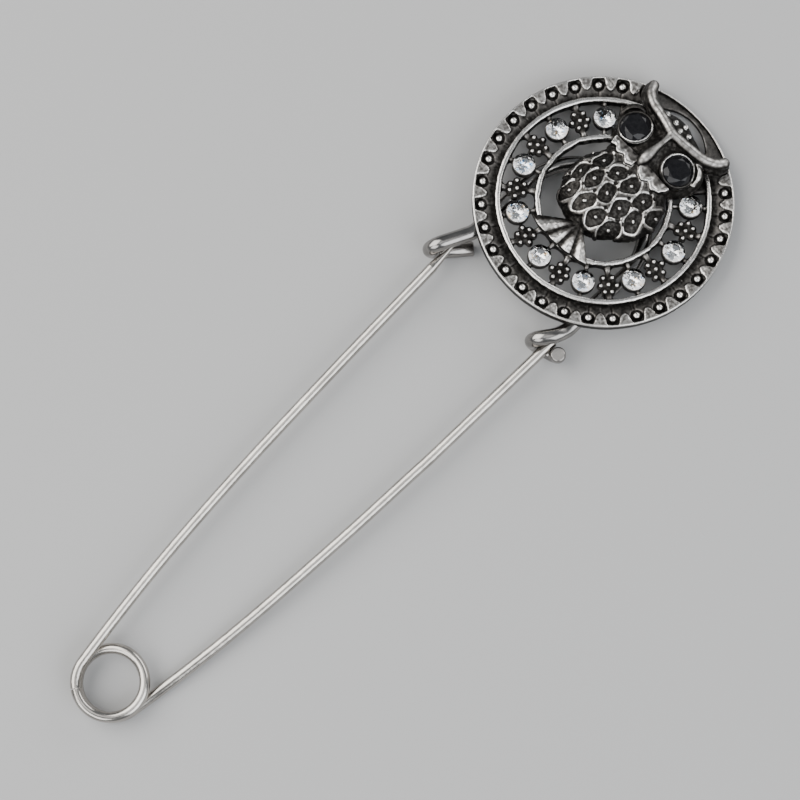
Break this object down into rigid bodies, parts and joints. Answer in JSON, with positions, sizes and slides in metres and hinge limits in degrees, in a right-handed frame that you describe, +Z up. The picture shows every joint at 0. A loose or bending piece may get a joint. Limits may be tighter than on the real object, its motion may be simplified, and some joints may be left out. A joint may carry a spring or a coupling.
{
  "type": "rhinestone owl pin brooch",
  "caption": "Large safety-pin brooch with a pierced round disc, a ring of clear rhinestones and an owl in relief with black faceted eyes, in antique silver finish.",
  "frame": {"origin": "middle of the outline, on the surface that the brooch lies on", "axes": "+Y from the pin's coil to the disc along the brooch's length, +Z up out of the owl's face, +X to the right when the owl is seen upright"},
  "size_m": [0.0358, 0.1166, 0.0086],
  "materials": {
    "antique_silver": "cast white metal, plated and oxidised: dark in the recesses, worn bright on rims, beads and rings",
    "owl_silver": "the same antique plating, darker, with bright worn edges on the feather net, brow and beak",
    "pin_wire": "polished plated spring wire, slightly warm",
    "clear_crystal": "foil-backed faceted crystal",
    "black_glass": "opaque black faceted glass"
  },
  "bodies": {
    "brooch": {"medallion": "antique_silver", "owl": "owl_silver", "eye_left": "black_glass", "eye_right": "black_glass", "stone_01": "clear_crystal", "stone_02": "clear_crystal", "stone_03": "clear_crystal", "stone_04": "clear_crystal", "stone_05": "clear_crystal", "stone_06": "clear_crystal", "stone_07": "clear_crystal", "stone_08": "clear_crystal", "stone_09": "clear_crystal", "fixed_arm": "pin_wire"},
    "pin": {"pin_arm": "pin_wire"}
  },
  "joints": [
    {"name": "pin_hinge", "type": "hinge", "parent": "brooch", "child": "pin", "pos_m": [0, -0.05287, 0.0022], "axis": [0, 0, 1], "range_deg": [-7, 0], "stiffness_Nm_per_rad": 0.5}
  ]
}
